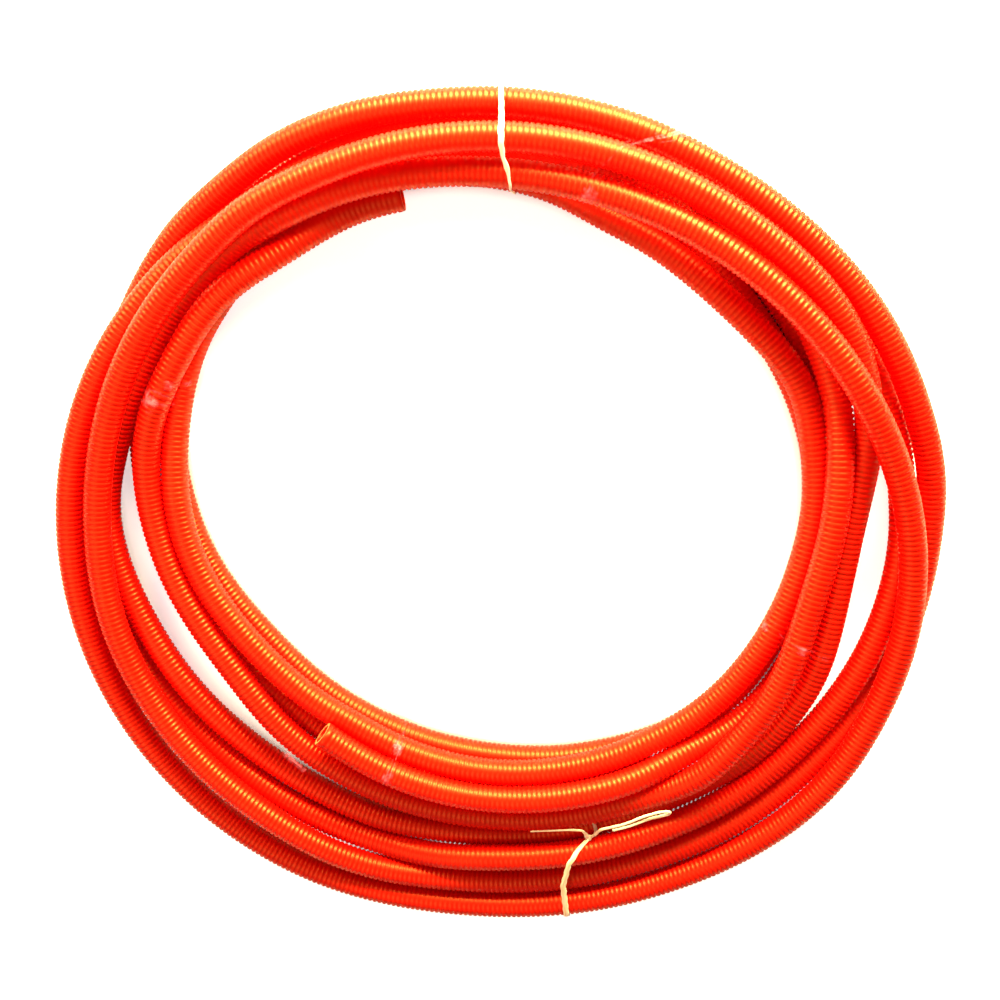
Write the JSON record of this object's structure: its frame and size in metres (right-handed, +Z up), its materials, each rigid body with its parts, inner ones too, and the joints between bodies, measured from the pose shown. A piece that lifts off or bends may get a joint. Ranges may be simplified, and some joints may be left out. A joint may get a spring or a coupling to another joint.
{
  "type": "coil of flexible conduit",
  "caption": "Loose coil of ribbed flexible plastic conduit in two bundles of turns, tied with string and thin film, with open cut ends.",
  "frame": {"origin": "middle of the footprint, at floor level", "axes": "+Z up along the coil's axis, +Y towards the side where the outer bundle lies on the inner one"},
  "size_m": [0.514, 0.5152, 0.0689],
  "materials": {
    "conduit": "moulded, ribbed, satin",
    "white_string": "flat twisted string",
    "straw_string": "fibrous straw twine",
    "film": "clear bunched stretch film"
  },
  "bodies": {
    "root": {"outer_coil": "conduit", "inner_coil": "conduit", "back_string": "white_string", "front_string": "straw_string", "film_back": "film", "film_left": "film", "film_front": "film", "film_right": "film"}
  },
  "joints": []
}
